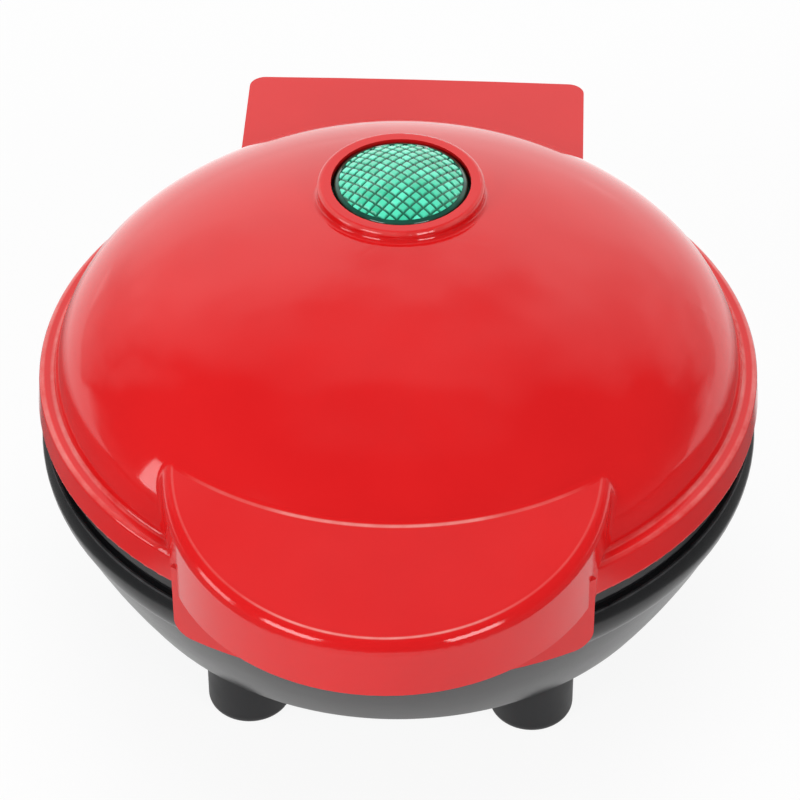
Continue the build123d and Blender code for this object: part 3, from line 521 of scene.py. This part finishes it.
BRASS = surface(
    "brass_plain",
    (0.62, 0.42, 0.14),
    (0.50, 0.32, 0.10),
    rough=(0.26, 0.4),
    patch=200.0,
    metallic=1.0,
)
CERAMIC = surface(
    "steatite",
    (0.74, 0.71, 0.62),
    (0.64, 0.60, 0.51),
    rough=(0.55, 0.7),
    patch=200.0,
    grain=2500.0,
)
CREAM = surface(
    "natural_nylon",
    (0.70, 0.69, 0.62),
    (0.62, 0.60, 0.53),
    rough=(0.38, 0.5),
    patch=150.0,
)
SLEEVE = surface(
    "glass_fibre",
    (0.72, 0.70, 0.60),
    (0.52, 0.50, 0.42),
    rough=(0.7, 0.85),
    patch=700.0,
    grain=2600.0,
    grain_depth=0.00008,
)
SILICONE = surface(
    "silicone_dark",
    (0.020, 0.020, 0.021),
    (0.012, 0.012, 0.013),
    rough=(0.45, 0.6),
    patch=140.0,
)
WIRE = surface(
    "silicone_light",
    (0.56, 0.52, 0.44),
    (0.48, 0.44, 0.37),
    rough=(0.5, 0.62),
    patch=160.0,
)
BULB = surface(
    "lamp_glass",
    (0.80, 0.70, 0.60),
    (0.74, 0.62, 0.52),
    rough=(0.05, 0.1),
    patch=300.0,
    alpha=0.5,
)
GREEN = surface(
    "green_plastic",
    (0.085, 0.62, 0.40),
    (0.050, 0.52, 0.32),
    rough=(0.10, 0.16),
    patch=500.0,
    grain_depth=0.000002,
)
LENS_RIM = surface(
    "green_rim",
    (0.010, 0.095, 0.062),
    (0.006, 0.060, 0.040),
    rough=(0.05, 0.09),
    patch=400.0,
    grain_depth=0.000001,
    coat=0.5,
)

by_slot = {
    "lid_plastic": RED,
    "base_plastic": BLACK,
    "rim_plastic": BLACK_SATIN,
    "frame_plastic": BLACK_MATTE,
    "plate_coating": COATING,
    "element_steel": SHEATH,
    "insulator_ceramic": CERAMIC,
    "pan_steel": SHEET,
    "screw_steel": STEEL,
    "brass_parts": BRASS,
    "lens_plastic": GREEN,
    "holder_plastic": CREAM,
    "lamp_glass": BULB,
    "foot_plastic": BLACK_SATIN,
    "pin_steel": STEEL,
    "gland_plastic": BLACK_MATTE,
    "fuse_metal": STEEL,
    "sleeve_fabric": SLEEVE,
    "block_plastic": CREAM,
    "lead_rubber": SILICONE,
    "wire_rubber": WIRE,
}
for entry in frame["record"]["subparts"]:
    cad_node = nodes[entry["node"]]
    cad_node.data.materials.clear()
    cad_node.data.materials.append(by_slot[entry["material_slot"]])


# Lens: a domed body with square prisms as raised pads in its top
LENS_FLANGE = 1.8 * MM
LENS_FLANGE_HEIGHT = 1.3 * MM
LENS_WALL = 1.5 * MM
LENS_SAG = 2.5 * MM
LENS_EDGE_ROUND = 0.25 * MM
LENS_COUNT = 96
CAP_STEPS = 14
RIM_WIDTH = 0.95 * MM
RIM_DROP = 0.45 * MM
SHARP_ANGLE = math.radians(40.0)

lens_radius = (lens_high[0] - lens_low[0]) / 2 - LENS_FLANGE
lens_top = lens_high[2]
lens_curve = (lens_radius**2 + LENS_SAG**2) / (2 * LENS_SAG)


def cap_height(radius):
    return lens_top - lens_curve + math.sqrt(lens_curve**2 - radius**2)


def add_piece(name, mesh, material, smooth):
    piece = bpy.data.objects.new(name, mesh)
    piece.data.materials.append(material)
    for face in mesh.polygons:
        face.use_smooth = smooth
    scene.collection.objects.link(piece)
    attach(piece, "lid")
    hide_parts("indicator_lens")


# Radius and height along the lens's section, from the middle of its top round to the
# inside. The sunk cap rises to the rim in three steps, each by its distance outward.
RIM_STEPS = (0.10 * MM, 0.25 * MM, 0.45 * MM)
RIM_ALMOST = 0.05 * MM
EDGE_BEVEL = 0.07 * MM


def lens_profile():
    inner = lens_radius - RIM_WIDTH
    profile = []
    for step in range(CAP_STEPS + 1):
        radius = inner * step / CAP_STEPS
        profile.append((radius, cap_height(radius) - RIM_DROP))
    edge = cap_height(lens_radius)
    rounded = lens_radius - LENS_EDGE_ROUND
    outer = lens_radius + LENS_FLANGE
    bore = lens_radius - LENS_WALL
    half_up, almost_up, rim = (inner + step for step in RIM_STEPS)
    return profile + [
        (half_up, cap_height(inner) - RIM_DROP / 2),
        (almost_up, cap_height(inner) - RIM_ALMOST),
        (rim, cap_height(rim)),
        (rounded, cap_height(rounded)),
        (lens_radius - EDGE_BEVEL, edge - EDGE_BEVEL),
        (lens_radius, edge - LENS_EDGE_ROUND),
        (lens_radius, lens_low[2] + LENS_FLANGE_HEIGHT),
        (outer, lens_low[2] + LENS_FLANGE_HEIGHT),
        (outer, lens_low[2]),
        (bore, lens_low[2]),
        (bore, edge - LENS_WALL),
        (lens_radius / 2, cap_height(lens_radius / 2) - LENS_WALL),
        (0.0, lens_top - LENS_WALL),
    ]


def make_lens_body():
    points = []
    faces = []
    rows = []
    for radius, height in lens_profile():
        if radius == 0.0:
            rows.append([len(points)] * LENS_COUNT)
            points.append((*lens_centre, height))
            continue
        rows.append(list(range(len(points), len(points) + LENS_COUNT)))
        for turn in range(LENS_COUNT):
            angle = 2 * math.pi * turn / LENS_COUNT
            across = lens_centre.x + radius * math.cos(angle)
            along = lens_centre.y + radius * math.sin(angle)
            points.append((across, along, height))
    for upper, lower in zip(rows, rows[1:]):
        for turn in range(LENS_COUNT):
            after = (turn + 1) % LENS_COUNT
            corners = [upper[turn], lower[turn], lower[after], upper[after]]
            faces.append(list(dict.fromkeys(corners)))
    mesh = bpy.data.meshes.new("lens_body")
    mesh.from_pydata(points, [], faces)
    mesh.validate()
    add_piece("lens_body", mesh, LENS_RIM, smooth=True)
    mesh.set_sharp_from_angle(angle=SHARP_ANGLE)


# Prisms: square pads with a low crown and sloping sides, in turned rows
LENS_TURN = math.radians(50.0)
PRISM = 1.65 * MM
PRISM_GAP = 0.10 * MM
PRISM_SLOPE = 0.20 * MM
PRISM_DEPTH = 0.32 * MM
PRISM_CROWN = 0.07 * MM
PRISM_BELOW = 0.02 * MM
PRISM_SKIN = 0.25 * MM
PAD_OVERLAP = 0.15 * MM
POINT_MARGIN = 1.2 * PRISM
FACE_MARGIN = 0.5 * PRISM
LEAST_AREA = 1e-11

across_rows = Vector((math.cos(LENS_TURN), math.sin(LENS_TURN)))
along_rows = Vector((-math.sin(LENS_TURN), math.cos(LENS_TURN)))
pad_limit = lens_radius - RIM_WIDTH + PAD_OVERLAP


def on_lens(u, v):
    return across_rows * u + along_rows * v


# Lines across the rows of prisms, each with its place and its height, and how many of
# them one prism has
def prism_lines(reach):
    section = (
        (-PRISM_GAP, -PRISM_DEPTH),
        (PRISM_GAP, -PRISM_DEPTH),
        (PRISM_GAP + PRISM_SLOPE, 0.0),
        (PRISM / 2, PRISM_CROWN),
        (PRISM - PRISM_GAP - PRISM_SLOPE, 0.0),
    )
    cells = range(-reach, reach + 1)
    return len(section), [(cell * PRISM + at, rise) for cell in cells for at, rise in section]


def add_prism_points(work, lines):
    grid = {}
    for i, (u, rise_u) in enumerate(lines):
        for j, (v, rise_v) in enumerate(lines):
            spot = on_lens(u, v)
            if spot.length > pad_limit + POINT_MARGIN:
                continue
            if spot.length > pad_limit:
                spot = spot * (pad_limit / spot.length)
            rise = min(rise_u, rise_v)
            if rise >= 0:
                rise = (rise_u + rise_v) / 2
            height = cap_height(spot.length) + rise - (PRISM_CROWN + PRISM_BELOW)
            grid[i, j] = work.verts.new((*(lens_centre + spot), height))
    return grid


def make_prisms():
    reach = int(lens_radius / PRISM) + 2
    size, lines = prism_lines(reach)
    work = bmesh.new()
    grid = add_prism_points(work, lines)
    for i in range(len(lines) - 1):
        for j in range(len(lines) - 1):
            keys = [(i, j), (i + 1, j), (i + 1, j + 1), (i, j + 1)]
            if any(key not in grid for key in keys):
                continue
            if i % size == 0 or j % size == 0:
                spot = on_lens(lines[i][0], lines[j][0])
            else:
                cells = (i // size - reach + 0.5, j // size - reach + 0.5)
                spot = on_lens(cells[0] * PRISM, cells[1] * PRISM)
            if spot.length < pad_limit + FACE_MARGIN:
                work.faces.new([grid[key] for key in keys])
    thin = [face for face in work.faces if face.calc_area() < LEAST_AREA]
    bmesh.ops.delete(work, geom=thin, context="FACES_ONLY")
    loose = [vert for vert in work.verts if not vert.link_faces]
    bmesh.ops.delete(work, geom=loose, context="VERTS")
    skin = bmesh.ops.extrude_face_region(work, geom=list(work.faces))
    low = [item for item in skin["geom"] if isinstance(item, bmesh.types.BMVert)]
    bmesh.ops.translate(work, vec=(0, 0, -PRISM_SKIN), verts=low)
    bmesh.ops.recalc_face_normals(work, faces=list(work.faces))
    mesh = bpy.data.meshes.new("lens_prisms")
    work.to_mesh(mesh)
    work.free()
    add_piece("lens_prisms", mesh, prism_material(), smooth=False)


PAD_TONES = ((0.035, 0.62, 0.36), (0.11, 0.93, 0.62))
GROOVE_TONE = (0.004, 0.14, 0.075)
# Tone of the painted shade dots
SHADE_DOT_TONE = (0.002, 0.035, 0.022)
# Distances from a groove's middle over which the pads begin, in pads
PAD_START = (0.05, 0.17)
# Distances from a crossing of grooves over which its dark dot ends, in pads
DOT_END = (0.15, 0.21)
# Depths past the lens's middle over which the painted shade dots begin, and their full share
DOTS_BEGIN = (-1.0 * MM, 2.0 * MM)
DOT_SHARE = 0.9
PAD_ROUGHNESS = (0.06, 0.14)
PAD_GRAIN = 0.00002
CLEAR_ROUGHNESS = 0.03


# Bright pads in dark grooves, with dark dots of painted shade at the crossings in the back half
def prism_material():
    material, tree = new_tree("green_prisms")
    out = tree.nodes.new("ShaderNodeOutputMaterial")
    shader = tree.nodes.new("ShaderNodeBsdfPrincipled")
    coords = tree.nodes.new("ShaderNodeTexCoord").outputs["Object"]
    centred = vector_math(tree, "SUBTRACT", coords, (*lens_centre, 0.0))["Vector"]
    turned = tree.nodes.new("ShaderNodeMapping")
    turned.inputs["Rotation"].default_value = (0.0, 0.0, -LENS_TURN)
    turned.inputs["Scale"].default_value = (1 / PRISM, 1 / PRISM, 0.0)
    link(tree, centred, turned.inputs["Vector"])
    rows = turned.outputs[0]
    to_groove = [
        combine(tree, "PINGPONG", axis_part(tree, rows, axis), 0.5) for axis in ("X", "Y")
    ]
    cell = vector_math(tree, "FLOOR", rows)["Vector"]
    chance = tree.nodes.new("ShaderNodeTexWhiteNoise")
    link(tree, cell, chance.inputs["Vector"])
    mixed = mix_colours(tree)
    pad = ramp(tree, combine(tree, "MINIMUM", *to_groove), *PAD_START, 0.0, 1.0)
    link(tree, pad, mixed.inputs["Factor"])
    mixed.inputs["A"].default_value = (*GROOVE_TONE, 1.0)
    link(tree, tint(tree, chance.outputs["Value"], *PAD_TONES), mixed.inputs["B"])
    # Painted shade: dark dots at the crossings, only in the back half
    behind = ramp(tree, axis_part(tree, centred, "Y"), *DOTS_BEGIN, 0.0, DOT_SHARE)
    shade_dots = product(tree, ramp(tree, most(tree, *to_groove), *DOT_END, 1.0, 0.0), behind)
    colour = blend_colour(tree, shade_dots, mixed.outputs["Result"], SHADE_DOT_TONE)
    link(tree, colour, shader.inputs["Base Color"])
    gloss = spread(tree, noise(tree, coords, 900.0), *PAD_ROUGHNESS)
    link(tree, gloss, shader.inputs["Roughness"])
    link(tree, bump(tree, noise(tree, coords, 1500.0), PAD_GRAIN), shader.inputs["Normal"])
    # The clear coat follows the lens's dome instead of the pads
    shader.inputs["Coat Weight"].default_value = 1.0
    shader.inputs["Coat Roughness"].default_value = CLEAR_ROUGHNESS
    dome_middle = (*lens_centre, lens_top - lens_curve)
    outward = vector_math(tree, "SUBTRACT", coords, dome_middle)["Vector"]
    to_world = tree.nodes.new("ShaderNodeVectorTransform")
    to_world.vector_type = "NORMAL"
    to_world.convert_from = "OBJECT"
    to_world.convert_to = "WORLD"
    link(tree, outward, to_world.inputs[0])
    link(tree, to_world.outputs[0], shader.inputs["Coat Normal"])
    link(tree, shader.outputs["BSDF"], out.inputs["Surface"])
    return material


make_lens_body()
make_prisms()


# Floor. The camera sees an even, pale glow with the object's shadow in it. Reflections
# see it dimmer, with a share for the part under the object, the flanks and the back.
FLOOR_HALF = 3.0
FLOOR_TONES = ((0.90, 0.90, 0.90), (0.88, 0.88, 0.88))
CAMERA_SHARE = 0.90
OPEN_SHARE = 0.20
UNDER_SHARE = 0.38
FLANK_SHARE = 0.80
BACK_SHARE = 0.90
UNDER_REACH = (0.064, 0.088)
FLANK_SIDE = (0.088, 0.106)
BACK_DEPTH = (0.08, 0.14)
# Behind the middle, the flanks begin nearer to it
SLANT_DEPTH = (-0.05, 0.0)
SLANT = 0.018
# Strength of the glow that reflections see, at the flanks and added at the back
FLANK_GLOW = 0.02
BACK_GLOW = 0.25


def make_stage():
    material, tree = new_tree("floor_paint")
    out = tree.nodes.new("ShaderNodeOutputMaterial")
    diffuse = tree.nodes.new("ShaderNodeBsdfDiffuse")
    glow = tree.nodes.new("ShaderNodeEmission")
    rays = tree.nodes.new("ShaderNodeLightPath").outputs
    both = tree.nodes.new("ShaderNodeMixShader")
    coords = tree.nodes.new("ShaderNodeTexCoord").outputs["Object"]
    tone = spread(tree, noise(tree, coords, 8.0), 0.0, 1.0)
    link(tree, tint(tree, tone, *FLOOR_TONES), diffuse.inputs["Color"])

    depth = axis_part(tree, coords, "Y")
    slant = ramp(tree, depth, *SLANT_DEPTH, 0.0, SLANT)
    side = combine(tree, "ADD", absolute(tree, axis_part(tree, coords, "X")), slant)
    ahead = ramp(tree, depth, *BACK_DEPTH, 1.0, 0.0)
    flank = product(tree, ramp(tree, side, *FLANK_SIDE, 0.0, 1.0), ahead)
    back = ramp(tree, depth, *BACK_DEPTH, 0.0, 1.0)
    reach, _ = around(tree, coords, (0.0, 0.0))
    under = ramp(tree, reach, *UNDER_REACH, 1.0, 0.0)

    share = most(
        tree,
        between(tree, under, OPEN_SHARE, UNDER_SHARE),
        between(tree, flank, 0.0, FLANK_SHARE),
        between(tree, back, 0.0, BACK_SHARE),
    )
    mirrored = most(tree, rays["Is Glossy Ray"], rays["Is Transmission Ray"])
    seen = product(tree, rays["Is Camera Ray"], CAMERA_SHARE)
    link(tree, most(tree, seen, product(tree, mirrored, share)), both.inputs["Fac"])

    flank_glow = between(tree, flank, 1.0, FLANK_GLOW)
    strength = combine(tree, "ADD", flank_glow, between(tree, back, 0.0, BACK_GLOW))
    unseen = combine(tree, "SUBTRACT", 1.0, rays["Is Camera Ray"])
    change = product(tree, combine(tree, "SUBTRACT", strength, 1.0), unseen)
    link(tree, combine(tree, "ADD", change, 1.0), glow.inputs["Strength"])

    link(tree, diffuse.outputs[0], both.inputs[1])
    link(tree, glow.outputs[0], both.inputs[2])
    link(tree, both.outputs[0], out.inputs["Surface"])
    mesh = bpy.data.meshes.new("floor")
    half = FLOOR_HALF
    corners = [(-half, -half, 0), (half, -half, 0), (half, half, 0), (-half, half, 0)]
    mesh.from_pydata(corners, [], [(0, 1, 2, 3)])
    floor = bpy.data.objects.new("floor", mesh)
    floor.data.materials.append(material)
    scene.collection.objects.link(floor)


# Each lamp's name, place, width, height and watts, and whether reflections show it
LAMP_AIM = Vector((0.0, 0.0, 0.05))
LAMPS = (
    ("lamp_left", (-0.63, -0.80, 0.64), 0.42, 0.42, 4.3, True),
    ("lamp_right", (0.63, -0.80, 0.64), 0.42, 0.42, 4.3, True),
    ("lamp_side", (-1.09, -0.34, 0.34), 0.36, 0.42, 2.1, True),
    ("lamp_top", (0.0, 0.25, 1.30), 1.0, 1.0, 8.2, False),
)


def make_lamp(name, place, width, height, power, mirrored):
    data = bpy.data.lights.new(name, "AREA")
    data.shape = "RECTANGLE"
    data.size = width
    data.size_y = height
    data.energy = power
    lamp = bpy.data.objects.new(name, data)
    lamp.location = place
    lamp.rotation_euler = (LAMP_AIM - Vector(place)).to_track_quat("-Z", "Y").to_euler()
    lamp.visible_glossy = mirrored
    scene.collection.objects.link(lamp)


# World. Ranges are heights and facings of a direction as shares of its length: a height
# of 1 is straight up, a facing of 1 is straight back. A slow noise moves their edges.
DRIFT = 0.09
SPOT_DRIFT = 0.2
WALL_HEIGHTS = (0.62, 0.88)
WALL_LIGHT = 0.84
SPOT_HEIGHTS = (0.945, 0.975)
SPOT_LIGHTS = (0.42, 0.08)
WALL_FACINGS = (0.30, 0.62)
WALL_MIDDLE = (0.58, 0.98)
WALL_SIDE_LIGHT = 0.54
LOW_HEIGHTS = (-0.10, 0.17)
LOW_LIGHT = 1.5
LOW_FACINGS = (0.05, 0.35)
ROOM_HEIGHTS = (0.0, 0.3)
ROOM_LIGHTS = (0.30, 0.13)
WHITE = (1.0, 1.0, 1.0, 1.0)


def white_background(tree):
    node = tree.nodes.new("ShaderNodeBackground")
    node.inputs["Color"].default_value = WHITE
    return node


# Reflections see a bright wall behind the object, the camera sees plain white
def make_world():
    world = bpy.data.worlds.new("studio")
    scene.world = world
    world.use_nodes = True
    tree = world.node_tree
    tree.nodes.clear()
    out = tree.nodes.new("ShaderNodeOutputWorld")
    way = tree.nodes.new("ShaderNodeTexCoord").outputs["Generated"]
    up = axis_part(tree, way, "Z")
    level = combine(tree, "SUBTRACT", 1.0, product(tree, up, up))
    drift = ramp(tree, noise(tree, way, 3.0), NOISE_LOW, NOISE_HIGH, -DRIFT, DRIFT)
    height = combine(tree, "ADD", up, drift)
    facing = combine(tree, "DIVIDE", axis_part(tree, way, "Y"), combine(tree, "POWER", level, 0.5))
    facing = combine(tree, "ADD", facing, drift)

    wall = ramp(tree, height, *WALL_HEIGHTS, WALL_LIGHT, 0.0)
    spot_height = combine(tree, "ADD", up, product(tree, drift, SPOT_DRIFT))
    wall = combine(tree, "ADD", wall, ramp(tree, spot_height, *SPOT_HEIGHTS, *SPOT_LIGHTS))
    wall = product(
        tree,
        wall,
        ramp(tree, facing, *WALL_FACINGS, 0.0, 1.0),
        ramp(tree, facing, *WALL_MIDDLE, WALL_SIDE_LIGHT, 1.0),
    )
    low_wall = product(
        tree,
        ramp(tree, height, *LOW_HEIGHTS, LOW_LIGHT, 0.0),
        ramp(tree, facing, *LOW_FACINGS, 0.0, 1.0),
    )
    room = ramp(tree, height, *ROOM_HEIGHTS, *ROOM_LIGHTS)

    plain = white_background(tree)
    link(tree, most(tree, wall, low_wall, room), plain.inputs["Strength"])
    seen = white_background(tree)
    rays = tree.nodes.new("ShaderNodeLightPath")
    mix = tree.nodes.new("ShaderNodeMixShader")
    link(tree, rays.outputs["Is Camera Ray"], mix.inputs["Fac"])
    link(tree, plain.outputs[0], mix.inputs[1])
    link(tree, seen.outputs[0], mix.inputs[2])
    link(tree, mix.outputs[0], out.inputs["Surface"])


make_stage()
make_world()
for lamp_row in LAMPS:
    make_lamp(*lamp_row)
